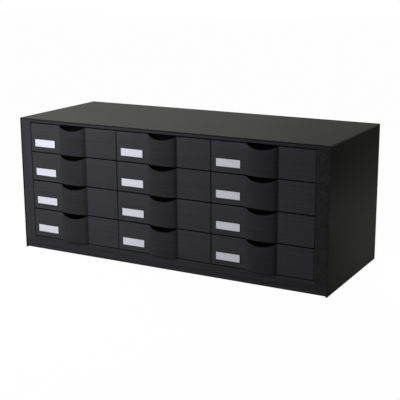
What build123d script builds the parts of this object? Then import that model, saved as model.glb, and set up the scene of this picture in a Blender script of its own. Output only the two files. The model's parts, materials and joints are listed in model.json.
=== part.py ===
"""A twelve-drawer cabinet for flat sheets of craft paper: three columns of four moulded trays.

Millimetres. +X runs to the right as seen from the front, +Y to the back and +Z up. The origin is
the centre of the overall box at the floor. Each drawer is a moulded tray with a clipped-on front,
and the front's middle is bowed out into a finger pull.
"""

import math
import os

from build123d import *

# ---------------------------------------------------------------- driving dimensions
# what goes in
paper_size = 305.0  # a 12 inch sheet
paper_play = 1.0  # free space on each side of a sheet

# the drawer grid
columns = 3
rows = 4
row_pitch = 94.7
front_gap = 2.7  # shadow gap between two drawer fronts

# moulded tray
tray_wall = 2.0
tray_rear_gap = 12.8  # from a shut tray to the back panel
tray_lift = 5.0  # underside above the row line
tray_head_gap = 8.7  # from the rim up to the next row line
tray_corner = 7.0
tray_kept = 89.0  # length of the tray that stays in the case at the stops
flange_reach = 3.5
flange_thick = 2.4

# runner channels
runner_web = 1.5
runner_lip = 2.0
runner_play_side = 0.5
runner_play_under = 0.3
runner_play_over = 0.5
runner_rib_thick = 2.0
runner_rib_deep = 2.6
runner_rear_gap = 17.8  # from a runner to the back panel

# stops: a lug on each side of the tray meets a tab under the front end of its runner
stop_tab_length = 6.0
stop_drop = 4.0  # height of tab and lug under the runner's lower lip
stop_lug_length = 12.0
stop_lug_reach = 3.0
stop_play = 0.3

# moulded drawer front
front_skin = 2.5
front_depth = 15.0
front_recess = 1.0  # flats behind the face of the case
front_edge_bevel = 1.2
pull_half_width = 50.0
pull_rise = 12.5
pull_haunch_radius = 26.0
pull_spring_angle = 50.0  # slope of the bow where it leaves the flat
pull_root_radius = 3.0
scoop_half_width = 49.5
scoop_depth = 13.5

# label bezel and card
label_window_width = 78.5
label_window_height = 23.5
label_side_margin = 15.0  # drawer edge to the visible card
label_foot_margin = 17.0
bezel_rim = 3.0
bezel_rise = 0.9
card_lap = 2.0  # how far the card goes under the rim
card_play = 0.2
card_thick = 0.6

# snap hooks that hold the front on the tray
hook_x = 112.0
hook_heights = (26.0, 66.0)
hook_width = 14.0
hook_thick = 2.4
hook_barb = 1.4
hook_nose = 3.0
hook_play = 0.3

# case boards
case_depth = 414.0
side_thick = 5.0  # thin outer sheets, which reach the floor
side_bevel = 0.6
stile_width = 36.0
inner_board = 8.0
bottom_board = 10.0
cover_thick = 4.0
cover_bevel = 0.6
back_thick = 3.2
back_inset = 3.0
back_lap = 2.5
housing_deep = 3.0  # depth of the grooves that hold the uprights
seam_bevel = 0.4
lip_recess = 0.8  # edges of the top and bottom boards behind the face of the case
plinth_height = 29.5
plinth_thick = 15.0
plinth_recess = 0.8
plinth_lift = 3.0  # gap between the floor and the plinth

# screws of the back panel
screw_radius = 1.5
screw_length = 14.0
screw_head_radius = 3.5
screw_head_height = 2.0
screw_sides = 12  # flats round a screw and its hole, which keep the small parts light
screw_hole_play = 0.3
screw_end_margin = 45.0

# ---------------------------------------------------------------- worked-out sizes
tray_inner_width = paper_size + 2 * paper_play
tray_half = tray_inner_width / 2 + tray_wall
flange_half = tray_half + flange_reach
bay_half = flange_half + runner_play_side + runner_web
column_pitch = 2 * bay_half + inner_board
opening_width = columns * column_pitch
opening_height = rows * row_pitch + front_gap
case_width = opening_width + 2 * (side_thick + stile_width)

front_width = column_pitch - front_gap
front_height = row_pitch - front_gap
pull_overhang = pull_rise - front_recess
upright_setback = front_recess + front_depth + 1.0

case_front = -(case_depth + pull_overhang) / 2 + pull_overhang
case_back = case_front + case_depth
back_face = case_back - back_inset
board_back = back_face - back_thick
flat_y = case_front + front_recess  # face of the drawer fronts' flats
tray_front = flat_y + front_depth
tray_back = board_back - tray_rear_gap
tray_length = tray_back - tray_front
tray_travel = tray_length - tray_kept

side_half = case_width / 2
side_inner = side_half - side_thick
stile_inner = side_inner - stile_width
bottom_under = plinth_lift + plinth_height
bottom_top = bottom_under + bottom_board
ceiling = bottom_top + opening_height
cover_under = ceiling + inner_board
case_height = cover_under + cover_thick

column_centres = [(i - (columns - 1) / 2) * column_pitch for i in range(columns)]
upright_centres = [(i - columns / 2) * column_pitch for i in range(columns + 1)]
row_lines = [bottom_top + front_gap / 2 + i * row_pitch for i in range(rows)]

tray_rim = row_pitch - tray_head_gap  # top of the rim above the row line
flange_top = tray_rim
flange_under = flange_top - flange_thick
slot_under = flange_under - runner_play_under
slot_over = flange_top + runner_play_over
lip_under = slot_under - runner_lip
runner_front = case_front + upright_setback + 1.0
runner_length = board_back - runner_rear_gap - runner_front
lug_front = runner_front + stop_tab_length + stop_play + tray_travel

# centre of the label, from the column's centre and the row line
label_x = -front_width / 2 + label_side_margin + label_window_width / 2
label_z = front_gap / 2 + label_foot_margin + label_window_height / 2

os.makedirs("parts", exist_ok=True)


def save(piece, name):
    """Labels a finished piece and writes it as its own file."""
    piece.label = name
    export_step(piece, f"parts/{name}.step")


# ---------------------------------------------------------------- case boards
def outline(x0, x1, y0, y1):
    """A rectangle from its corners, added to the open sketch."""
    with Locations(((x0 + x1) / 2, (y0 + y1) / 2)):
        Rectangle(x1 - x0, y1 - y0)


def make_cover():
    """The thin top sheet that caps the sides, with its corners and upper edges bevelled."""
    with BuildPart() as cover:
        with BuildSketch(Plane.XY.offset(cover_under)):
            outline(-side_half, side_half, case_front, case_back)
        extrude(amount=cover_thick)
        chamfer(cover.edges().filter_by(Axis.Z).group_by(Axis.Y)[0], side_bevel)
        chamfer(cover.faces().sort_by(Axis.Z)[-1].edges(), cover_bevel)
    return cover.part


def make_side(hand):
    """A thin outer sheet. hand is -1 for the left one and 1 for the right one."""
    outer, inner = hand * side_half, hand * side_inner
    lap = inner + hand * back_lap
    with BuildPart() as side:
        with BuildSketch():
            outline(min(outer, inner), max(outer, inner), case_front, case_back)
        extrude(amount=cover_under)
        front_edges = side.edges().filter_by(Axis.Z).group_by(Axis.Y)[0].sort_by(Axis.X)
        chamfer(front_edges[0] if hand < 0 else front_edges[-1], side_bevel)
        # rebate for the back panel
        with BuildSketch(Plane.XY.offset(bottom_under)):
            outline(min(inner, lap), max(inner, lap), board_back, case_back)
        extrude(amount=cover_under - bottom_under, mode=Mode.SUBTRACT)
    return side.part


def make_stile(hand):
    """The upright board that fills the front between a side sheet and the drawers."""
    outer, inner = hand * side_inner, hand * stile_inner
    with BuildPart() as stile:
        with BuildSketch(Plane.XY.offset(bottom_under)):
            outline(min(outer, inner), max(outer, inner), case_front, case_front + upright_setback)
        extrude(amount=cover_under - bottom_under)
        chamfer(stile.edges().filter_by(Axis.Z).group_by(Axis.Y)[0], seam_bevel)
    return stile.part


def make_board(under, thick, groove_side):
    """The top or bottom board, notched round the stiles, with grooves that hold the uprights.

    groove_side is 1 for grooves in the upper face and -1 for grooves in the lower face.
    """
    grooved_face = under + thick if groove_side > 0 else under
    with BuildPart() as board:
        with BuildSketch(Plane.XY.offset(under)):
            outline(-stile_inner, stile_inner, case_front + lip_recess, board_back)
            outline(-side_inner, side_inner, case_front + upright_setback, board_back)
        extrude(amount=thick)
        chamfer(board.edges().filter_by(Axis.X).group_by(Axis.Y)[0], seam_bevel)
        with BuildSketch(Plane.XY.offset(grooved_face)):
            for x in upright_centres:
                outline(
                    x - inner_board / 2,
                    x + inner_board / 2,
                    case_front + upright_setback,
                    board_back,
                )
        extrude(amount=-groove_side * housing_deep, mode=Mode.SUBTRACT)
        with BuildSketch(*screw_planes(board_screw_points(under + thick / 2))):
            RegularPolygon(screw_radius + screw_hole_play, screw_sides)
        extrude(amount=-screw_length, mode=Mode.SUBTRACT)
    return board.part


def make_upright(index):
    """One of the thin uprights that carry the runners, with a saw kerf for each runner's rib."""
    x = upright_centres[index]
    half = inner_board / 2
    sides = [s for s in (-1, 1) if 0 <= index + (s - 1) // 2 < columns]
    low, high = bottom_top - housing_deep, ceiling + housing_deep
    with BuildPart() as upright:
        with BuildSketch(Plane.XZ.offset(-(case_front + upright_setback))):
            outline(x - half, x + half, low, high)
            for line in row_lines:
                middle = line + (slot_under + slot_over) / 2
                for s in sides:
                    near, far = x + s * (half - runner_rib_deep), x + s * half
                    with Locations(((near + far) / 2, middle)):
                        Rectangle(runner_rib_deep, runner_rib_thick, mode=Mode.SUBTRACT)
        extrude(amount=-(board_back - case_front - upright_setback))
        with BuildSketch(*screw_planes([upright_screw_point(x)])):
            RegularPolygon(screw_radius + screw_hole_play, screw_sides)
        extrude(amount=-screw_length, mode=Mode.SUBTRACT)
    return upright.part


def make_back_panel():
    """The hardboard back, let into the sides and screwed to the boards."""
    half = side_inner + back_lap
    with BuildPart() as panel:
        with BuildSketch(Plane.XY.offset(bottom_under)):
            outline(-half, half, board_back, back_face)
        extrude(amount=cover_under - bottom_under)
        with BuildSketch(*screw_planes(screw_points())):
            RegularPolygon(screw_radius + screw_hole_play, screw_sides)
        extrude(amount=-back_thick, mode=Mode.SUBTRACT)
    return panel.part


def make_rail(front):
    """A plinth rail under the bottom board, with its front face at y = front."""
    with BuildPart() as rail:
        with BuildSketch(Plane.XY.offset(plinth_lift)):
            outline(-side_inner, side_inner, front, front + plinth_thick)
        extrude(amount=plinth_height)
        chamfer(rail.edges().filter_by(Axis.X).group_by(Axis.Y)[0], seam_bevel)
    return rail.part


# ---------------------------------------------------------------- screws of the back panel
def upright_screw_point(x):
    """Where a screw enters the rear edge of one upright, halfway up."""
    return (x, back_face, (bottom_top + ceiling) / 2)


def board_screw_points(z):
    """Where the two screws enter the rear edge of the top or bottom board."""
    end = side_inner - screw_end_margin
    return [(-end, back_face, z), (end, back_face, z)]


def screw_points():
    """Every screw of the back panel."""
    points = board_screw_points(bottom_under + bottom_board / 2)
    points += board_screw_points(ceiling + inner_board / 2)
    points += [upright_screw_point(x) for x in upright_centres]
    return points


def screw_planes(points):
    """A plane at each point that faces straight back."""
    return [Plane(point, z_dir=(0, 1, 0)) for point in points]


def make_back_screws():
    """Pan-head screws, one at every screw point."""
    with BuildPart() as screws:
        with BuildSketch(*screw_planes(screw_points())):
            RegularPolygon(screw_radius, screw_sides)
        extrude(amount=-screw_length)
        with BuildSketch(*screw_planes(screw_points())):
            RegularPolygon(screw_head_radius, screw_sides)
        extrude(amount=screw_head_height)
    return screws.part


# ---------------------------------------------------------------- runners
def make_runners(column):
    """The eight channels of one column: a slot for the tray's flange and a rib for the kerf."""
    half_slot = (slot_over - slot_under) / 2
    tip = tray_half + runner_play_side
    with BuildPart() as runners:
        with BuildSketch(Plane.XZ.offset(-runner_front)):
            for line in row_lines:
                middle = line + (slot_under + slot_over) / 2
                for s in (-1, 1):
                    x = column_centres[column]
                    near, far = x + s * tip, x + s * bay_half
                    rib = x + s * (bay_half + runner_rib_deep)
                    reach = half_slot + runner_lip
                    outline(min(near, far), max(near, far), middle - reach, middle + reach)
                    outline(
                        min(far, rib),
                        max(far, rib),
                        middle - runner_rib_thick / 2,
                        middle + runner_rib_thick / 2,
                    )
                    slot_end = x + s * (bay_half - runner_web)
                    with Locations(((near + slot_end) / 2, middle)):
                        Rectangle(abs(slot_end - near), 2 * half_slot, mode=Mode.SUBTRACT)
        extrude(amount=-runner_length)
        with BuildSketch(Plane.XZ.offset(-runner_front)):
            for line in row_lines:
                for s in (-1, 1):
                    near, far = column_centres[column] + s * tip, column_centres[column] + s * bay_half
                    outline(
                        min(near, far),
                        max(near, far),
                        line + lip_under - stop_drop,
                        line + lip_under,
                    )
        extrude(amount=-stop_tab_length)
    return runners.part


# ---------------------------------------------------------------- drawer tray
def make_tray():
    """The moulded tray of one drawer, at the column's centre and the row line."""
    middle = (tray_front + tray_back) / 2
    tray_depth = tray_rim - tray_lift
    window_height = hook_thick + hook_barb + 2 * hook_play
    with BuildPart() as tray:
        with BuildSketch(Plane.XY.offset(tray_lift)):
            with Locations((0, middle)):
                RectangleRounded(2 * tray_half, tray_length, tray_corner)
        extrude(amount=tray_depth)
        offset(amount=-tray_wall, openings=tray.faces().sort_by(Axis.Z)[-1])
        # the front wall stands higher, to close the back of the hollow front
        with BuildSketch(Plane.XY.offset(tray_rim)):
            outline(
                -(tray_half - tray_corner), tray_half - tray_corner, tray_front, tray_front + tray_wall
            )
        extrude(amount=front_gap / 2 + front_height - front_skin - hook_play - tray_rim)
        # side flanges that run in the channels
        with BuildSketch(Plane.XY.offset(flange_under)):
            for s in (-1, 1):
                near, far = s * (tray_half - tray_wall / 2), s * flange_half
                outline(
                    min(near, far), max(near, far), tray_front + tray_corner, tray_back - tray_corner
                )
        extrude(amount=flange_thick)
        # stop lugs under the runners
        with BuildSketch(Plane.XY.offset(lip_under - stop_play - stop_drop)):
            for s in (-1, 1):
                near, far = s * (tray_half - tray_wall / 2), s * (tray_half + stop_lug_reach)
                outline(min(near, far), max(near, far), lug_front, lug_front + stop_lug_length)
        extrude(amount=stop_drop)
        # windows for the front's hooks
        with BuildSketch(Plane.XZ.offset(-tray_front)):
            with Locations(*[(s * hook_x, z) for s in (-1, 1) for z in hook_heights]):
                with Locations((0, hook_barb / 2)):
                    Rectangle(hook_width + 2 * hook_play, window_height)
        extrude(amount=-tray_wall, mode=Mode.SUBTRACT)
    return tray.part


# ---------------------------------------------------------------- drawer front
def pull_curve():
    """The bow in plan as points on its arcs, at the flat's plane: a haunch, the crown, a haunch.

    The haunch leaves the flat at the spring angle. The crown is tangent to both haunches, so its
    radius follows from the rise.
    """
    slope = math.radians(pull_spring_angle)
    haunch_x = pull_half_width - pull_haunch_radius * math.sin(slope)
    haunch_y = -pull_haunch_radius * math.cos(slope)
    over = pull_rise - haunch_y
    crown_radius = (haunch_x**2 + over**2 - pull_haunch_radius**2) / (2 * (over - pull_haunch_radius))
    turn = math.asin(haunch_x / (crown_radius - pull_haunch_radius))
    half_turn = (slope + turn) / 2
    join = (crown_radius * math.sin(turn), pull_rise - crown_radius * (1 - math.cos(turn)))
    mid = (
        haunch_x + pull_haunch_radius * math.sin(half_turn),
        haunch_y + pull_haunch_radius * math.cos(half_turn),
    )
    return join, mid


def pull_outline(back):
    """The closed outline of the bow in plan, carried back to a straight line at y = back."""
    join, mid = pull_curve()
    left, right = (-pull_half_width, flat_y), (pull_half_width, flat_y)
    left_join, right_join = (-join[0], flat_y - join[1]), (join[0], flat_y - join[1])
    with BuildSketch() as bow:
        with BuildLine():
            ThreePointArc(left, (-mid[0], flat_y - mid[1]), left_join)
            ThreePointArc(left_join, (0, flat_y - pull_rise), right_join)
            ThreePointArc(right_join, (mid[0], flat_y - mid[1]), right)
            Polyline(right, (pull_half_width, back), (-pull_half_width, back), left)
        make_face()
    return bow.sketch


def make_front():
    """The moulded front of one drawer: two hollow flats and a bowed finger pull between them."""
    low = front_gap / 2
    top = low + front_height
    half = front_width / 2
    bow = pull_outline(tray_front)
    deep_bow = pull_outline(tray_front + front_skin)
    with BuildPart() as front:
        with BuildSketch(Plane.XY.offset(low)) as plan:
            outline(-half, half, flat_y, tray_front)
            add(bow)
            roots = plan.vertices().filter_by_position(Axis.Y, flat_y - 0.01, flat_y + 0.01)
            fillet(roots.filter_by_position(Axis.X, -half + 1, half - 1), pull_root_radius)
        extrude(amount=front_height)
        # bevelled outer edges of the flats
        ends = front.edges().filter_by(Axis.Z).filter_by_position(Axis.Y, flat_y - 0.01, flat_y + 0.01)
        chamfer(ends.group_by(Axis.X)[0] + ends.group_by(Axis.X)[-1], front_edge_bevel)
        # hollows behind the flats, open at the back
        with BuildSketch(Plane.XY.offset(low + front_skin)):
            for s in (-1, 1):
                near, far = s * (pull_half_width), s * (half - front_skin)
                outline(min(near, far), max(near, far), flat_y + front_skin, tray_front)
        extrude(amount=front_height - 2 * front_skin, mode=Mode.SUBTRACT)
        # the finger pocket behind the bow, open at the top and at the back
        with BuildSketch(Plane.XY.offset(low + front_skin)):
            add(deep_bow)
            offset(amount=-front_skin, mode=Mode.REPLACE)
        extrude(amount=front_height, mode=Mode.SUBTRACT)
        # the scoop in the bow's upper edge
        scoop_radius = (scoop_half_width**2 + scoop_depth**2) / (2 * scoop_depth)
        with BuildSketch(Plane.XZ.offset(-(flat_y + front_skin))):
            with Locations((0, top - scoop_depth + scoop_radius)):
                Circle(scoop_radius)
        extrude(amount=pull_rise + front_skin + 1.0, mode=Mode.SUBTRACT)
        # bezel round the label, and the seat behind its rim
        with BuildSketch(Plane.XZ.offset(-flat_y)):
            with Locations((label_x, label_z)):
                Rectangle(label_window_width + 2 * bezel_rim, label_window_height + 2 * bezel_rim)
        extrude(amount=bezel_rise)
        with BuildSketch(Plane.XZ.offset(-flat_y + bezel_rise)):
            with Locations((label_x, label_z)):
                Rectangle(label_window_width, label_window_height)
        extrude(amount=-bezel_rise, mode=Mode.SUBTRACT)
        with BuildSketch(Plane.XZ.offset(-flat_y)):
            with Locations((label_x, label_z)):
                Rectangle(
                    label_window_width + 2 * card_lap + 2 * card_play,
                    label_window_height + 2 * card_lap + 2 * card_play,
                )
        extrude(amount=-(card_thick + 2 * card_play), mode=Mode.SUBTRACT)
        # hooked tongues that go through the tray's front wall
        nose_y = tray_front + tray_wall + hook_play
        for s in (-1, 1):
            for z in hook_heights:
                with BuildSketch(Plane.YZ.offset(s * hook_x - hook_width / 2)):
                    with BuildLine():
                        Polyline(
                            (flat_y + front_skin - 0.5, z - hook_thick / 2),
                            (nose_y + hook_nose, z - hook_thick / 2),
                            (nose_y + hook_nose, z + hook_thick / 2),
                            (nose_y, z + hook_thick / 2 + hook_barb),
                            (nose_y, z + hook_thick / 2),
                            (flat_y + front_skin - 0.5, z + hook_thick / 2),
                            close=True,
                        )
                    make_face()
                extrude(amount=hook_width)
    return front.part


def make_card():
    """The white card in the bezel of one drawer."""
    with BuildPart() as card:
        with BuildSketch(Plane.XZ.offset(-(flat_y + card_play))):
            with Locations((label_x, label_z)):
                Rectangle(label_window_width + 2 * card_lap, label_window_height + 2 * card_lap)
        extrude(amount=-card_thick)
    return card.part


# ---------------------------------------------------------------- the whole cabinet
save(make_cover(), "top_cover")
save(make_board(ceiling, inner_board, -1), "top_board")
save(make_board(bottom_under, bottom_board, 1), "bottom_board")
save(make_side(-1), "left_side")
save(make_side(1), "right_side")
save(make_stile(-1), "left_stile")
save(make_stile(1), "right_stile")
save(make_back_panel(), "back_panel")
save(make_rail(case_front + plinth_recess), "plinth_rail")
save(make_rail(back_face - plinth_thick), "rear_rail")
save(make_back_screws(), "back_panel_screws")

for i in range(columns + 1):
    save(make_upright(i), f"upright_{i + 1}")
for i in range(columns):
    save(make_runners(i), f"runners_column_{i + 1}")

tray, front, card = make_tray(), make_front(), make_card()
for r in range(rows):
    for c in range(columns):
        place = Location((column_centres[c], 0, row_lines[rows - 1 - r]))
        name = f"drawer_{r * columns + c + 1:02d}"
        save(place * tray, f"{name}_tray")
        save(place * front, f"{name}_front")
        save(place * card, f"{name}_label_card")

print(f"case {case_width:.1f} x {case_depth:.1f} x {case_height:.1f}, column {column_pitch:.1f}")
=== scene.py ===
import json
import math

import bmesh
import bpy
from mathutils import Matrix, Vector

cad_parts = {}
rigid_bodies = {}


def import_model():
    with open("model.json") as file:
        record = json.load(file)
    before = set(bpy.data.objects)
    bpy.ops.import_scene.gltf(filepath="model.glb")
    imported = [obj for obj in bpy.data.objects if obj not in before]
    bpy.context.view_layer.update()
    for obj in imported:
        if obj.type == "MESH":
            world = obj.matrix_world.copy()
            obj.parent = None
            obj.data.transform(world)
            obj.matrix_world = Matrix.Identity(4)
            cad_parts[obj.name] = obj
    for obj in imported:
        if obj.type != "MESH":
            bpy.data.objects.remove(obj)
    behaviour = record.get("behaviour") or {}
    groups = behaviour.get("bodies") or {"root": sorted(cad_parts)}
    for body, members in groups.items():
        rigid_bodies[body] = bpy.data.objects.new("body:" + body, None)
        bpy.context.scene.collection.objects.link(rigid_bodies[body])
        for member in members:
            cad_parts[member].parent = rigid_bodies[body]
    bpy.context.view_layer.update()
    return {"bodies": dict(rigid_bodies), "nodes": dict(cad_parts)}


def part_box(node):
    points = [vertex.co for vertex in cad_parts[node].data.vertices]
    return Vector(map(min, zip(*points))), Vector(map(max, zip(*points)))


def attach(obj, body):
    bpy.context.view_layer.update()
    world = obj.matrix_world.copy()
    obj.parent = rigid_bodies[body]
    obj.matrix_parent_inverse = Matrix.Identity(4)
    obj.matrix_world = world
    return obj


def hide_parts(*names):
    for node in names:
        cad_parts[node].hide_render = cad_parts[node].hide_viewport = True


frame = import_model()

nodes = frame["nodes"]
MM = 0.001
drawer_names = sorted(body for body in frame["bodies"] if body.startswith("drawer_"))
upright_names = sorted(node for node in nodes if node.startswith("upright_"))
runner_names = sorted(node for node in nodes if node.startswith("runners_"))
case_low, case_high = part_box("top_cover")
case_front = case_low.y
case_left, case_right = case_low.x, case_high.x


# ------------------------------------------------------------------ the view
# The cabinet is seen from the right and a little above, through a long lens that stands about
# three cabinet widths away. The eye's place is written in cabinet widths, counted from the case's
# lower left front corner.
eye_right, eye_ahead, eye_up = 1.8494, 2.2310, 0.86005
case_width = case_right - case_left
eye = Vector((
    case_left + eye_right * case_width,
    case_front - eye_ahead * case_width,
    eye_up * case_width,
))
turn_left = math.radians(28.856)
tilt_down = math.radians(14.068)
roll = math.radians(0.285)

camera = bpy.data.objects.new("camera", bpy.data.cameras.new("camera"))
camera.data.lens = 85.52
camera.data.sensor_width = 36
camera.data.clip_end = 50
camera.matrix_world = (
    Matrix.Translation(eye)
    @ Matrix.Rotation(turn_left, 4, "Z")
    @ Matrix.Rotation(math.radians(90) - tilt_down, 4, "X")
    @ Matrix.Rotation(-roll, 4, "Z")
)
bpy.context.scene.collection.objects.link(camera)
bpy.context.scene.camera = camera
bpy.context.scene.view_settings.view_transform = "Standard"


# ------------------------------------------------------------------ the studio
# A pale floor in a white room. Soft lamps stand close in front at the left and above the left end,
# so that the light falls off to the right. A weak one fills in from behind, and a low strip lights
# the lower part of the right panel.
def place_node(tree, kind, **settings):
    """Adds a shader node and sets its properties by name."""
    made = tree.nodes.new(kind)
    for name, value in settings.items():
        setattr(made, name, value)
    return made


def new_material(name):
    """A node material that holds a Principled shader; returns material, tree and shader."""
    made = bpy.data.materials.new(name)
    made.use_nodes = True
    return made, made.node_tree, made.node_tree.nodes["Principled BSDF"]


def link_background(tree, fac):
    """Drives fac with 1 for the rays that see the background: the camera's, mirrored and clear."""
    path = place_node(tree, "ShaderNodeLightPath")
    first = place_node(tree, "ShaderNodeMath", operation="MAXIMUM")
    second = place_node(tree, "ShaderNodeMath", operation="MAXIMUM")
    tree.links.new(path.outputs["Is Camera Ray"], first.inputs[0])
    tree.links.new(path.outputs["Is Glossy Ray"], first.inputs[1])
    tree.links.new(first.outputs[0], second.inputs[0])
    tree.links.new(path.outputs["Is Transmission Ray"], second.inputs[1])
    tree.links.new(second.outputs[0], fac)


def add_object(name, mesh):
    """Puts a mesh in the scene as an object at the origin."""
    made = bpy.data.objects.new(name, mesh)
    bpy.context.scene.collection.objects.link(made)
    return made


floor_half = 12.0  # metres from the middle to the edge
floor_mesh = bpy.data.meshes.new("floor")
floor_mesh.from_pydata(
    [(-floor_half, -floor_half, 0), (floor_half, -floor_half, 0), (floor_half, floor_half, 0),
     (-floor_half, floor_half, 0)],
    [],
    [(0, 1, 2, 3)],
)
floor = add_object("floor", floor_mesh)

floor_white = 0.985  # share of the floor that is plain white, the rest shows the shadow
floor_stuff, tree, shader = new_material("pale_floor")
shader.inputs["Base Color"].default_value = (0.86, 0.86, 0.86, 1)
shader.inputs["Roughness"].default_value = 0.9
glow = place_node(tree, "ShaderNodeEmission")
seen = place_node(tree, "ShaderNodeMath", operation="MULTIPLY")
seen.inputs[1].default_value = floor_white
mix = place_node(tree, "ShaderNodeMixShader")
link_background(tree, seen.inputs[0])
tree.links.new(seen.outputs[0], mix.inputs["Fac"])
tree.links.new(shader.outputs[0], mix.inputs[1])
tree.links.new(glow.outputs[0], mix.inputs[2])
tree.links.new(mix.outputs[0], tree.nodes["Material Output"].inputs["Surface"])
floor_mesh.materials.append(floor_stuff)

room_level = 0.06  # brightness of the room as a light
world = bpy.data.worlds.new("studio")
world.use_nodes = True
bpy.context.scene.world = world
tree = world.node_tree
plain = tree.nodes["Background"]
plain.inputs["Color"].default_value = (1, 1, 1, 1)
plain.inputs["Strength"].default_value = room_level
white = place_node(tree, "ShaderNodeBackground")
white.inputs["Color"].default_value = (1, 1, 1, 1)
white.inputs["Strength"].default_value = 1.0
mix_seen = place_node(tree, "ShaderNodeMixShader")
link_background(tree, mix_seen.inputs["Fac"])
tree.links.new(plain.outputs[0], mix_seen.inputs[1])
tree.links.new(white.outputs[0], mix_seen.inputs[2])
tree.links.new(mix_seen.outputs[0], tree.nodes["World Output"].inputs["Surface"])

lamp_aim = Vector((0, 0, 0.2))
# name, place, width and height in metres, watts
for name, place, width, height, power in (
    ("lamp_front", (-0.60, -1.05, 0.85), 0.5, 0.5, 11.5),
    ("lamp_above", (-1.0, 0.0, 1.2), 0.8, 0.8, 7),
    ("lamp_behind", (-1.5, 2.2, 1.6), 1.6, 1.6, 6),
    ("lamp_right", (0.80, 0.15, 0.11), 0.5, 0.1, 1.4),
):
    lamp = bpy.data.objects.new(name, bpy.data.lights.new(name, "AREA"))
    lamp.data.shape = "RECTANGLE"
    lamp.data.size = width
    lamp.data.size_y = height
    lamp.data.energy = power
    lamp.location = place
    lamp.visible_camera = False
    lamp.rotation_euler = (lamp_aim - lamp.location).to_track_quat("-Z", "Y").to_euler()
    bpy.context.scene.collection.objects.link(lamp)


# ------------------------------------------------------------------ outer sheets and top cover
# Thin fibreboard sheets wrap the cabinet at both sides and on top. They carry a black foil with
# a faint printed wood grain, and are glued to the boards inside.
def add_group_socket(group, name, kind, is_output=False, value=None):
    """Adds a named input or output to a node group."""
    made = group.interface.new_socket(
        name=name, in_out="OUTPUT" if is_output else "INPUT", socket_type=kind
    )
    if value is not None:
        made.default_value = value
    return made


grain_group = bpy.data.node_groups.new("printed_grain", "ShaderNodeTree")
add_group_socket(grain_group, "Place", "NodeSocketVector")
add_group_socket(grain_group, "Streak Length", "NodeSocketFloat", value=0.30)
add_group_socket(grain_group, "Streak Width", "NodeSocketFloat", value=0.004)
add_group_socket(grain_group, "Figure", "NodeSocketFloat", value=0.5)
add_group_socket(grain_group, "Dark", "NodeSocketColor", value=(0.008, 0.008, 0.009, 1))
add_group_socket(grain_group, "Light", "NodeSocketColor", value=(0.02, 0.02, 0.022, 1))
add_group_socket(grain_group, "Color", "NodeSocketColor", is_output=True)
add_group_socket(grain_group, "Mask", "NodeSocketFloat", is_output=True)
tree = grain_group
group_in = place_node(tree, "NodeGroupInput")
group_out = place_node(tree, "NodeGroupOutput")
split = place_node(tree, "ShaderNodeSeparateXYZ")
along = place_node(tree, "ShaderNodeMath", operation="DIVIDE")
across = place_node(tree, "ShaderNodeMath", operation="DIVIDE")
stretched = place_node(tree, "ShaderNodeCombineXYZ")
tree.links.new(group_in.outputs["Place"], split.inputs[0])
tree.links.new(split.outputs["X"], along.inputs[0])
tree.links.new(group_in.outputs["Streak Length"], along.inputs[1])
tree.links.new(split.outputs["Y"], across.inputs[0])
tree.links.new(group_in.outputs["Streak Width"], across.inputs[1])
tree.links.new(along.outputs[0], stretched.inputs["X"])
tree.links.new(across.outputs[0], stretched.inputs["Y"])
tree.links.new(split.outputs["Z"], stretched.inputs["Z"])
streaks = place_node(tree, "ShaderNodeTexNoise")
streaks.inputs["Scale"].default_value = 1.0
streaks.inputs["Detail"].default_value = 5.0
streaks.inputs["Roughness"].default_value = 0.62
tree.links.new(stretched.outputs[0], streaks.inputs["Vector"])
# the cathedral figure: bands across the grain, pulled into arches by slow noise
arch = place_node(tree, "ShaderNodeTexNoise")
arch.inputs["Scale"].default_value = 0.22
arch.inputs["Detail"].default_value = 1.0
tree.links.new(stretched.outputs[0], arch.inputs["Vector"])
rings = place_node(tree, "ShaderNodeMath", operation="MULTIPLY")
rings.inputs[1].default_value = 46.0
tree.links.new(arch.outputs["Fac"], rings.inputs[0])
wave = place_node(tree, "ShaderNodeMath", operation="SINE")
tree.links.new(rings.outputs[0], wave.inputs[0])
half_wave = place_node(tree, "ShaderNodeMath", operation="MULTIPLY_ADD")
half_wave.inputs[1].default_value = 0.5
half_wave.inputs[2].default_value = 0.5
tree.links.new(wave.outputs[0], half_wave.inputs[0])
blend_figure = place_node(tree, "ShaderNodeMix", data_type="FLOAT")
tree.links.new(group_in.outputs["Figure"], blend_figure.inputs["Factor"])
tree.links.new(streaks.outputs["Fac"], blend_figure.inputs["A"])
tree.links.new(half_wave.outputs[0], blend_figure.inputs["B"])
spread = place_node(tree, "ShaderNodeMapRange")
spread.inputs["From Min"].default_value = 0.25
spread.inputs["From Max"].default_value = 0.75
tree.links.new(blend_figure.outputs["Result"], spread.inputs["Value"])
tint = place_node(tree, "ShaderNodeMix", data_type="RGBA")
tree.links.new(spread.outputs["Result"], tint.inputs["Factor"])
tree.links.new(group_in.outputs["Dark"], tint.inputs["A"])
tree.links.new(group_in.outputs["Light"], tint.inputs["B"])
tree.links.new(tint.outputs["Result"], group_out.inputs["Color"])
tree.links.new(spread.outputs["Result"], group_out.inputs["Mask"])


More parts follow.
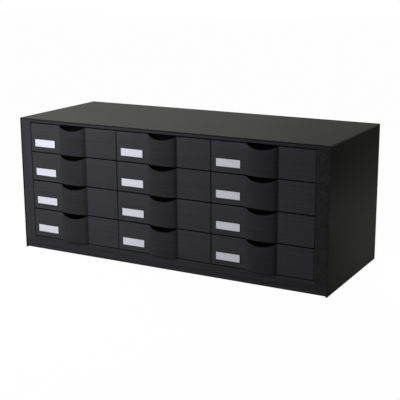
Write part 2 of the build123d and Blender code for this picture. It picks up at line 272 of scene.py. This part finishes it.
def foil(name, axes, dark, light, gloss, shine=0.1, figure=0.35, length=0.30, width=0.004):
    """Black foil with printed grain.

    axes names the object's directions along, across and through the grain. gloss holds the
    roughness of the dark and of the light grain, figure is the share of arches among the streaks,
    and length and width are those of a streak in metres.
    """
    made, tree, shader = new_material(name)
    coordinates = place_node(tree, "ShaderNodeTexCoord")
    split = place_node(tree, "ShaderNodeSeparateXYZ")
    turned = place_node(tree, "ShaderNodeCombineXYZ")
    tree.links.new(coordinates.outputs["Object"], split.inputs[0])
    for axis, socket in zip(axes, "XYZ"):
        tree.links.new(split.outputs[axis], turned.inputs[socket])
    grain = place_node(tree, "ShaderNodeGroup", node_tree=grain_group)
    grain.inputs["Streak Length"].default_value = length
    grain.inputs["Streak Width"].default_value = width
    grain.inputs["Figure"].default_value = figure
    grain.inputs["Dark"].default_value = (*dark, 1)
    grain.inputs["Light"].default_value = (*light, 1)
    shader.inputs["Specular IOR Level"].default_value = shine
    tree.links.new(turned.outputs[0], grain.inputs["Place"])
    tree.links.new(grain.outputs["Color"], shader.inputs["Base Color"])
    sheen = place_node(tree, "ShaderNodeMapRange")
    sheen.inputs["To Min"].default_value = gloss[0]
    sheen.inputs["To Max"].default_value = gloss[1]
    tree.links.new(grain.outputs["Mask"], sheen.inputs["Value"])
    tree.links.new(sheen.outputs["Result"], shader.inputs["Roughness"])
    pores = place_node(tree, "ShaderNodeBump")
    pores.inputs["Strength"].default_value = 0.35
    pores.inputs["Distance"].default_value = 0.00006
    tree.links.new(grain.outputs["Mask"], pores.inputs["Height"])
    tree.links.new(pores.outputs[0], shader.inputs["Normal"])
    return made


def dress(node, stuff, edge=0.0):
    """Gives a CAD node its material and, with edge, a small round on its arrises."""
    piece = nodes[node]
    piece.data.materials.clear()
    piece.data.materials.append(stuff)
    if edge:
        weld = piece.modifiers.new("weld", "WELD")
        weld.merge_threshold = 0.00001
        round_off = piece.modifiers.new("round", "BEVEL")
        round_off.width = edge
        round_off.segments = 2
        round_off.limit_method = "ANGLE"
        round_off.angle_limit = math.radians(35)
        round_off.harden_normals = True


def band_front(node, stuff):
    """Gives the foremost faces of a CAD node a material of their own."""
    mesh = nodes[node].data
    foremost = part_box(node)[0].y + 1 * MM  # within 1 mm of the node's front
    mesh.materials.append(stuff)
    for polygon in mesh.polygons:
        if polygon.normal.y < -0.9 and polygon.center.y < foremost:
            polygon.material_index = len(mesh.materials) - 1


side_foil = foil(
    "side_foil", "YZX", dark=(0.0108, 0.0108, 0.0098), light=(0.0142, 0.0138, 0.0128),
    gloss=(0.42, 0.52), shine=0.002,
)
# the top's foil is a lighter copy of the sides' foil: painted light where the top faces the lamps
top_foil = foil(
    "top_foil", "XYZ", dark=(0.0450, 0.0440, 0.0423), light=(0.0540, 0.0530, 0.0509),
    gloss=(0.42, 0.50), shine=0.006,
)
edge_foil = foil(
    "edge_foil", "ZXY", dark=(0.0015, 0.0015, 0.0015), light=(0.0030, 0.0030, 0.0029),
    gloss=(0.6, 0.7), shine=0.01,
)
cover_foil = foil(
    "cover_foil", "XZY", dark=(0.0115, 0.0115, 0.0115), light=(0.0165, 0.0165, 0.0165),
    gloss=(0.5, 0.6), shine=0.02,
)
sheet_round = 0.0004
dress("left_side", side_foil, sheet_round)
dress("right_side", side_foil, sheet_round)
dress("top_cover", top_foil, sheet_round)
# the front edges of the left sheet and of the cover are darker than their faces
band_front("left_side", edge_foil)
band_front("top_cover", cover_foil)


# ------------------------------------------------------------------ face frame
# Upright boards fill the front beside the drawers, the edges of the top and bottom boards close
# it above and below, and a plinth rail stands under it. All wear the same black foil; the left
# stile's copy is painted lighter and the right stile's darker, painted light and shade that follow
# the fall of the light to the right.
left_foil_painted_light = foil(
    "left_foil_painted_light", "ZXY", dark=(0.0240, 0.0243, 0.0275), light=(0.0310, 0.0314, 0.0350),
    gloss=(0.40, 0.52), shine=0.10,
)
right_foil_painted_shade = foil(
    "right_foil_painted_shade", "ZXY", dark=(0.0170, 0.0170, 0.0182), light=(0.0280, 0.0280, 0.0296),
    gloss=(0.40, 0.52), shine=0.03, length=0.010,
)
level_foil = foil(
    "level_foil", "XZY", dark=(0.0200, 0.0200, 0.0223), light=(0.0285, 0.0285, 0.0317),
    gloss=(0.42, 0.55), shine=0.06, figure=0.6,
)
dress("left_stile", left_foil_painted_light)
dress("right_stile", right_foil_painted_shade)
# the right sheet's front edge gets the right stile's darker copy, painted shade
band_front("right_side", right_foil_painted_shade)
for node in ("top_board", "bottom_board", "plinth_rail", "rear_rail"):
    dress(node, level_foil)


# ------------------------------------------------------------------ inside the case
# Thin black uprights carry extruded plastic runner channels, and a painted hardboard panel
# closes the back.
inner_coat = foil(
    "inner_coat", "YZX", dark=(0.005, 0.005, 0.005), light=(0.008, 0.008, 0.008), gloss=(0.55, 0.65)
)
hardboard = foil(
    "hardboard", "XZY", dark=(0.020, 0.018, 0.016), light=(0.034, 0.031, 0.028), gloss=(0.6, 0.75),
    shine=0.2, figure=0.0, length=0.006,
)
runner_plastic = foil(
    "runner_plastic", "YZX", dark=(0.006, 0.006, 0.006), light=(0.009, 0.009, 0.009),
    gloss=(0.3, 0.4), shine=0.3, figure=0.0, length=0.2, width=0.002,
)
for node in upright_names:
    dress(node, inner_coat)
for node in runner_names:
    dress(node, runner_plastic)
dress("back_panel", hardboard)


# ------------------------------------------------------------------ screws of the back panel
# Zinc-plated pan-head screws with a cross recess go through the back panel into the rear edges of
# the boards: two in the top board, two in the bottom board and one in each upright.
screw_stuff, tree, shader = new_material("zinc")
shader.inputs["Metallic"].default_value = 1.0
shader.inputs["Roughness"].default_value = 0.35
coordinates = place_node(tree, "ShaderNodeTexCoord")
cloud = place_node(tree, "ShaderNodeTexNoise")
cloud.inputs["Scale"].default_value = 900.0
tree.links.new(coordinates.outputs["Object"], cloud.inputs["Vector"])
zinc_tint = place_node(tree, "ShaderNodeMix", data_type="RGBA")
zinc_tint.inputs["A"].default_value = (0.42, 0.42, 0.40, 1)
zinc_tint.inputs["B"].default_value = (0.62, 0.62, 0.58, 1)
tree.links.new(cloud.outputs["Fac"], zinc_tint.inputs["Factor"])
tree.links.new(zinc_tint.outputs["Result"], shader.inputs["Base Color"])


def smooth(mesh, angle):
    """Shades a mesh smooth, apart from edges that turn by more than angle, in degrees."""
    for polygon in mesh.polygons:
        polygon.use_smooth = True
    mesh.set_sharp_from_angle(angle=math.radians(angle))


# millimetres
screw_radius, screw_length = 1.5, 14.0
head_radius, head_high = 3.5, 2.0
cross_arm, cross_half, cross_deep, cross_taper = 1.7, 0.4, 1.2, 0.8
screw_margin = 45.0


def add_screw(net, x, y, z):
    """Adds one screw to net, its head standing back from the panel's face at y."""
    steps = 32
    # radius and distance out from the panel: the shank, then the rounded head up to its flat
    profile = [
        (screw_radius, -screw_length), (screw_radius, 0.0), (head_radius, 0.0), (head_radius, 0.7),
        (3.25, 1.25), (2.8, 1.7), (2.2, head_high),
    ]
    rings = []
    for radius, out in profile:
        ring = []
        for step in range(steps):
            turn = 2 * math.pi * step / steps
            place = (x + radius * MM * math.cos(turn), y + out * MM, z + radius * MM * math.sin(turn))
            ring.append(net.verts.new(place))
        rings.append(ring)
    net.faces.new(rings[0])
    for low_ring, high_ring in zip(rings, rings[1:]):
        for step in range(steps):
            after = (step + 1) % steps
            net.faces.new((low_ring[step], low_ring[after], high_ring[after], high_ring[step]))
    # the cross is sunk in the flat middle of the head: one arm's three corners, turned four times
    corners = []
    a, b = 1, 0
    for _ in range(4):
        for along, aside in ((cross_arm, -cross_half), (cross_arm, cross_half), (cross_half, cross_half)):
            corners.append((along * a - aside * b, along * b + aside * a))
        a, b = -b, a
    rim, pit = [], []
    for a, b in corners:
        rim.append(net.verts.new((x + a * MM, y + head_high * MM, z + b * MM)))
    for a, b in corners:
        low = (x + a * cross_taper * MM, y + (head_high - cross_deep) * MM, z + b * cross_taper * MM)
        pit.append(net.verts.new(low))
    count = len(corners)
    rim_edges = [net.edges.new((rim[i], rim[(i + 1) % count])) for i in range(count)]
    for i in range(count):
        after = (i + 1) % count
        net.faces.new((rim[i], rim[after], pit[after], pit[i]))
    net.faces.new(pit)
    top_edges = [net.edges.get((rings[-1][i], rings[-1][(i + 1) % steps])) for i in range(steps)]
    bmesh.ops.triangle_fill(net, use_beauty=True, edges=top_edges + rim_edges)


back_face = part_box("back_panel")[1].y
screw_net = bmesh.new()
for board in ("top_board", "bottom_board"):
    low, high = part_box(board)
    for side in (low.x + screw_margin * MM, high.x - screw_margin * MM):
        add_screw(screw_net, side, back_face, (low.z + high.z) / 2)
for upright in upright_names:
    low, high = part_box(upright)
    add_screw(screw_net, (low.x + high.x) / 2, back_face, (low.z + high.z) / 2)
bmesh.ops.recalc_face_normals(screw_net, faces=screw_net.faces)
screw_mesh = bpy.data.meshes.new("screws")
screw_net.to_mesh(screw_mesh)
screw_net.free()
smooth(screw_mesh, 40)
screw_mesh.materials.append(screw_stuff)
screws = add_object("screws", screw_mesh)
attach(screws, "case")
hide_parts("back_panel_screws")


# ------------------------------------------------------------------ drawer trays
# Each tray is moulded in one piece from black plastic, with a finely textured face and a flange
# on each side that runs in the case's channels.
tray_plastic, tree, shader = new_material("tray_plastic")
coordinates = place_node(tree, "ShaderNodeTexCoord")
texture = place_node(tree, "ShaderNodeTexNoise")
texture.inputs["Scale"].default_value = 2200.0
texture.inputs["Detail"].default_value = 2.0
tree.links.new(coordinates.outputs["Object"], texture.inputs["Vector"])
tray_tint = place_node(tree, "ShaderNodeMix", data_type="RGBA")
tray_tint.inputs["A"].default_value = (0.012, 0.012, 0.013, 1)
tray_tint.inputs["B"].default_value = (0.021, 0.021, 0.022, 1)
tree.links.new(texture.outputs["Fac"], tray_tint.inputs["Factor"])
tree.links.new(tray_tint.outputs["Result"], shader.inputs["Base Color"])
shader.inputs["Roughness"].default_value = 0.5
shader.inputs["Specular IOR Level"].default_value = 0.15
tray_bump = place_node(tree, "ShaderNodeBump")
tray_bump.inputs["Strength"].default_value = 0.3
tray_bump.inputs["Distance"].default_value = 0.0001
tree.links.new(texture.outputs["Fac"], tray_bump.inputs["Height"])
tree.links.new(tray_bump.outputs[0], shader.inputs["Normal"])
# near-black surface, painted shade: it darkens the finger pockets, the gaps between the fronts and the
# trays' front walls behind them
near_black_shade_stuff = foil(
    "pocket", "XZY", dark=(0.0015, 0.0015, 0.0015), light=(0.0025, 0.0025, 0.0025),
    gloss=(0.6, 0.7), shine=0.02, figure=0.0,
)
tray_round = 0.0005
for drawer in drawer_names:
    dress(f"{drawer}_tray", tray_plastic, tray_round)
    # the tray's front wall gets the near-black painted shade, seen through the gaps
    band_front(f"{drawer}_tray", near_black_shade_stuff)


# ------------------------------------------------------------------ label cards
# A white card stands in each bezel. It is plain uncoated card with a slight tooth.
card_stuff, tree, shader = new_material("white_card")
coordinates = place_node(tree, "ShaderNodeTexCoord")
fibre = place_node(tree, "ShaderNodeTexNoise")
fibre.inputs["Scale"].default_value = 1500.0
tree.links.new(coordinates.outputs["Object"], fibre.inputs["Vector"])
card_tint = place_node(tree, "ShaderNodeMix", data_type="RGBA")
card_tint.inputs["A"].default_value = (0.63, 0.63, 0.70, 1)
card_tint.inputs["B"].default_value = (0.70, 0.70, 0.77, 1)
tree.links.new(fibre.outputs["Fac"], card_tint.inputs["Factor"])
tree.links.new(card_tint.outputs["Result"], shader.inputs["Base Color"])
shader.inputs["Roughness"].default_value = 0.8
for drawer in drawer_names:
    dress(f"{drawer}_label_card", card_stuff)


# ------------------------------------------------------------------ drawer fronts
# Each front is a moulded shell under black grained foil. Its middle is bowed out and hollow, and
# the bow's upper edge is scooped, so that fingers reach in from above and pull. Four hooked
# tongues hold it on the tray, and a thin moulded bezel keeps the label card on its left flat.
front_foil = foil(
    "front_foil", "XZY", dark=(0.0318, 0.0321, 0.0374), light=(0.0380, 0.0384, 0.0446),
    gloss=(0.40, 0.50), shine=0.05,
)
# the bow gets a darker, less shiny copy of the front's foil: painted shade
pull_foil_painted_shade = foil(
    "pull_foil_painted_shade", "XZY", dark=(0.0224, 0.0226, 0.0250), light=(0.0270, 0.0273, 0.0302),
    gloss=(0.42, 0.52), shine=0.03,
)

# millimetres, from the middle of the front's lower edge at the plane of its flats
cad_low, cad_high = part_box("drawer_01_front")
front_half = (cad_high.x - cad_low.x) / 2 / MM
front_high = (cad_high.z - cad_low.z) / MM
front_deep, skin, end_round, edge_round = 15.0, 2.5, 1.2, 0.9
round_steps = 3  # faces across a rounded arris
pull_half, pull_rise, haunch_radius, root_radius = 50.0, 12.5, 26.0, 3.0
pull_end = 51.5  # just past the roots of the bow
spring = math.radians(50)
scoop_half, scoop_deep = 49.5, 13.5
window_half, window_half_high, label_left, label_foot = 39.25, 11.75, 15.0, 17.0
window_round = 0.6
bezel_rim, bezel_rise, seat_lap, seat_deep = 3.0, 0.9, 2.2, 1.0
hook_x, hook_heights = 112.0, (24.65, 64.65)
hook_half, hook_half_high, hook_barb, hook_long = 7.0, 1.2, 1.4, 3.0
tray_wall_back = 2.3  # from the front's rear edge to the hooks' barbs
label_x = -front_half + label_left + window_half
label_z = label_foot + window_half_high
FRONT, SHADED_PULL, NEAR_BLACK_SHADE = 0, 1, 2


def arc_points(x, y, radius, first, last, steps):
    """Points of an arc in plan, each with the direction that leads into the moulding.

    The angle is that of the surface's outward direction, counted from straight ahead. A negative
    radius makes a hollow arc.
    """
    made = []
    for step in range(steps + 1):
        turn = first + (last - first) * step / steps
        lean, ahead = math.sin(turn), math.cos(turn)
        made.append((x + radius * lean, y - radius * ahead, -lean, ahead))
    return made


def plan_path():
    """The front's outer face in plan, from its left rear corner to its right rear corner."""
    haunch_x = pull_half - haunch_radius * math.sin(spring)
    haunch_y = haunch_radius * math.cos(spring)
    over = pull_rise + haunch_y
    crown_radius = (haunch_x**2 + over**2 - haunch_radius**2) / (2 * (over - haunch_radius))
    crown_turn = math.asin(haunch_x / (crown_radius - haunch_radius))
    reach = haunch_radius + root_radius
    root_x = haunch_x + math.sqrt(reach**2 - (haunch_y + root_radius) ** 2)
    root_turn = math.asin((root_x - haunch_x) / reach)
    right = arc_points(0, crown_radius - pull_rise, crown_radius, 0, crown_turn, 14)
    right += arc_points(haunch_x, haunch_y, haunch_radius, crown_turn, root_turn, 10)[1:]
    right += arc_points(root_x, -root_radius, -root_radius, root_turn, 0, 6)[1:]
    right += arc_points(front_half - end_round, end_round, end_round, 0, math.pi / 2, 5)
    right.append((front_half, front_deep, -1.0, 0.0))
    left = [(-x, y, -into_x, into_y) for x, y, into_x, into_y in reversed(right[1:])]
    # two more points on the left flat, where the seat of the label card begins and ends
    seat = window_half + seat_lap
    cut = next(i for i, point in enumerate(left) if point[0] > label_x)
    left[cut:cut] = [(label_x - seat, 0.0, 0.0, 1.0), (label_x + seat, 0.0, 0.0, 1.0)]
    return left + right


def scoop_top(x):
    """Height of the skin's upper edge at x."""
    if abs(x) >= scoop_half:
        return front_high
    radius = (scoop_half**2 + scoop_deep**2) / (2 * scoop_deep)
    return front_high - (math.sqrt(radius**2 - x**2) - (radius - scoop_deep))


def rounding(radius, base, edge, rising):
    """Pairs of depth and height round an edge, from the lower pair to the upper pair."""
    made = []
    for step in range(round_steps + 1):
        turn = math.pi / 2 * step / round_steps
        if rising:
            depth = radius * (1 - math.cos(turn))
            height = radius * (math.sin(turn) - 1)
        else:
            depth = radius * (1 - math.sin(turn))
            height = radius * (1 - math.cos(turn))
        made.append((base + depth, edge + height))
    return made


def add_face(net, corners, stuff=0):
    """Adds a face from corner places in millimetres, leaving out corners that coincide."""
    kept = []
    for corner in corners:
        if all((Vector(corner) - Vector(other)).length > 0.001 for other in kept):
            kept.append(corner)
    if len(kept) > 2:
        made = net.faces.new([net.verts.new(corner) for corner in kept])
        made.material_index = stuff


def add_box(net, low, high, stuff=0, leave_out=()):
    """Adds the faces of a box, apart from those named in leave_out, such as '+y'."""
    for axis in range(3):
        for end, sign in ((low, "-"), (high, "+")):
            if sign + "xyz"[axis] in leave_out:
                continue
            a, b = (axis + 1) % 3, (axis + 2) % 3
            corners = []
            for first, second in ((low, low), (high, low), (high, high), (low, high)):
                corner = [0.0, 0.0, 0.0]
                corner[axis], corner[a], corner[b] = end[axis], first[a], second[b]
                corners.append(tuple(corner))
            add_face(net, corners, stuff)


def build_shell(net):
    """The skin with its rounded edges, the finger pocket behind it and the hollows."""
    path = plan_path()
    seat_low = label_z - window_half_high - seat_lap
    seat_high = label_z + window_half_high + seat_lap
    # each column of points runs up the outer face, over the upper edge and down the inner face
    columns = []
    for x, y, into_x, into_y in path:
        top_round = rounding(edge_round, 0.0, scoop_top(x), True)
        levels = rounding(edge_round, 0.0, 0.0, False) + [(0.0, seat_low), (0.0, seat_high)]
        levels += top_round
        inner = [(skin - depth, height) for depth, height in reversed(top_round)]
        inner.append((skin, skin))
        column = []
        for depth, height in levels + inner:
            column.append((x + depth * into_x, y + depth * into_y, height))
        columns.append(column)
    outer_count = len(levels)
    seat_row = round_steps + 1
    slack = 0.01
    seat_left = label_x - window_half - seat_lap - slack
    seat_right = label_x + window_half + seat_lap + slack
    strip_end = 0.0
    for (left, right), (a, b) in zip(zip(path, path[1:]), zip(columns, columns[1:])):
        in_seat = left[0] > seat_left and right[0] < seat_right
        bowed = max(abs(left[0]), abs(right[0])) < pull_end
        stuff = SHADED_PULL if bowed else FRONT
        for row in range(outer_count - 1):
            # near the arrises the faces get the near-black painted shade that darkens the gaps between
            # the fronts
            painted_gap_shade = row < round_steps - 1 or row > outer_count - 1 - round_steps
            if not (in_seat and row == seat_row):
                add_face(net, (a[row], b[row], b[row + 1], a[row + 1]), NEAR_BLACK_SHADE if painted_gap_shade else stuff)
        # underside, back to the rear edge, in the near-black painted shade
        rear = [(corner[0], front_deep, 0.0) for corner in (b[0], a[0])]
        add_face(net, (a[0], b[0], *rear), NEAR_BLACK_SHADE)
        # inside the finger pocket, below the rim, the faces get the near-black painted shade
        if max(abs(left[0]), abs(right[0])) < scoop_half + 0.1:
            for row in range(outer_count - 1, len(a) - 1):
                rim = row < outer_count + round_steps
                add_face(net, (a[row], b[row], b[row + 1], a[row + 1]), SHADED_PULL if rim else NEAR_BLACK_SHADE)
            floor_rear = [(corner[0], front_deep, skin) for corner in (b[-1], a[-1])]
            add_face(net, (a[-1], b[-1], *floor_rear), NEAR_BLACK_SHADE)
            strip_end = max(strip_end, abs(left[0]), abs(right[0]))
        else:
            top_row = outer_count - 1
            # the top, back to the rear edge, in the near-black painted shade
            rear = [(corner[0], front_deep, front_high) for corner in (b[top_row], a[top_row])]
            add_face(net, (a[top_row], b[top_row], *rear), NEAR_BLACK_SHADE)
    # rear edge below the pocket
    pocket_half = pull_half - skin
    pocket_foot = ((-pocket_half, 0), (pocket_half, 0), (pocket_half, skin), (-pocket_half, skin))
    add_face(net, [(x, front_deep, z) for x, z in pocket_foot])
    for side in (-1, 1):
        # the pocket's end, then the hollow between the bow and the front's end
        near, far = sorted((side * pocket_half, side * strip_end))
        add_box(net, (near, skin, skin), (far, front_deep, front_high), NEAR_BLACK_SHADE, ("+y", "-z"))
        near, far = sorted((side * pull_half, side * (front_half - skin)))
        add_box(net, (near, skin, skin), (far, front_deep, front_high - skin), FRONT, ("+y",))
        # rear edge round the hollow
        wall, end = sorted((side * pocket_half, side * front_half))
        for x0, x1, z0, z1 in (
            (wall, end, 0, skin), (wall, end, front_high - skin, front_high),
            (wall, near, skin, front_high - skin), (far, end, skin, front_high - skin),
        ):
            edge_corners = ((x0, z0), (x1, z0), (x1, z1), (x0, z1))
            add_face(net, [(x, front_deep, z) for x, z in edge_corners])
    add_box(
        net,
        (label_x - window_half - seat_lap, 0.0, seat_low),
        (label_x + window_half + seat_lap, seat_deep, seat_high),
        FRONT,
        ("-y",),
    )


def add_bezel(net):
    """The raised rim round the label, with rounded arrises and corners."""
    # distance out from the window and depth, from the window's edge over the rim to its foot
    profile = [
        (0.0, 0.0), (0.0, -0.55), (0.12, -0.8), (0.35, -bezel_rise), (2.4, -bezel_rise),
        (2.75, -0.78), (bezel_rim, -0.45), (bezel_rim, 0.0),
    ]
    loops = []
    for out, y in profile:
        radius = window_round + out
        loop = []
        for corner, (sign_x, sign_z) in enumerate(((1, 1), (-1, 1), (-1, -1), (1, -1))):
            for step in range(5):
                turn = math.pi / 2 * (corner + step / 4)
                x = label_x + sign_x * (window_half - window_round) + radius * math.cos(turn)
                z = label_z + sign_z * (window_half_high - window_round) + radius * math.sin(turn)
                loop.append((x, y, z))
        loops.append(loop)
    for loop, after_loop in zip(loops, loops[1:] + loops[:1]):
        for i in range(len(loop)):
            j = (i + 1) % len(loop)
            add_face(net, (loop[i], loop[j], after_loop[j], after_loop[i]))


def add_hook(net, x, z):
    """One hooked tongue, from behind the skin through the tray's front wall."""
    root = skin - 0.5  # sunk half a millimetre in the skin
    nose = front_deep + tray_wall_back
    low, high = z - hook_half_high, z + hook_half_high
    side_view = [
        (root, low), (nose + hook_long, low), (nose + hook_long, high),
        (nose, high + hook_barb), (nose, high), (root, high),
    ]
    x0, x1 = x - hook_half, x + hook_half
    for end in (x0, x1):
        add_face(net, [(end, y, height) for y, height in side_view])
    for (y0, z0), (y1, z1) in zip(side_view, side_view[1:] + side_view[:1]):
        add_face(net, ((x0, y0, z0), (x1, y0, z0), (x1, y1, z1), (x0, y1, z1)))


front_net = bmesh.new()
build_shell(front_net)
add_bezel(front_net)
for side in (-1, 1):
    for hook_z in hook_heights:
        add_hook(front_net, side * hook_x, hook_z)
bmesh.ops.remove_doubles(front_net, verts=front_net.verts, dist=0.0005)
bmesh.ops.recalc_face_normals(front_net, faces=front_net.faces)
front_mesh = bpy.data.meshes.new("drawer_front")
front_net.to_mesh(front_mesh)
front_net.free()
smooth(front_mesh, 32)
for stuff in (front_foil, pull_foil_painted_shade, near_black_shade_stuff):
    front_mesh.materials.append(stuff)
for drawer in drawer_names:
    low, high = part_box(f"{drawer}_front")
    place = Matrix.Translation(((low.x + high.x) / 2, low.y + pull_rise * MM, low.z))
    shaped = front_mesh.copy()
    shaped.transform(place @ Matrix.Scale(MM, 4))
    front = add_object(f"{drawer}_shown_front", shaped)
    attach(front, drawer)
    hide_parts(f"{drawer}_front")
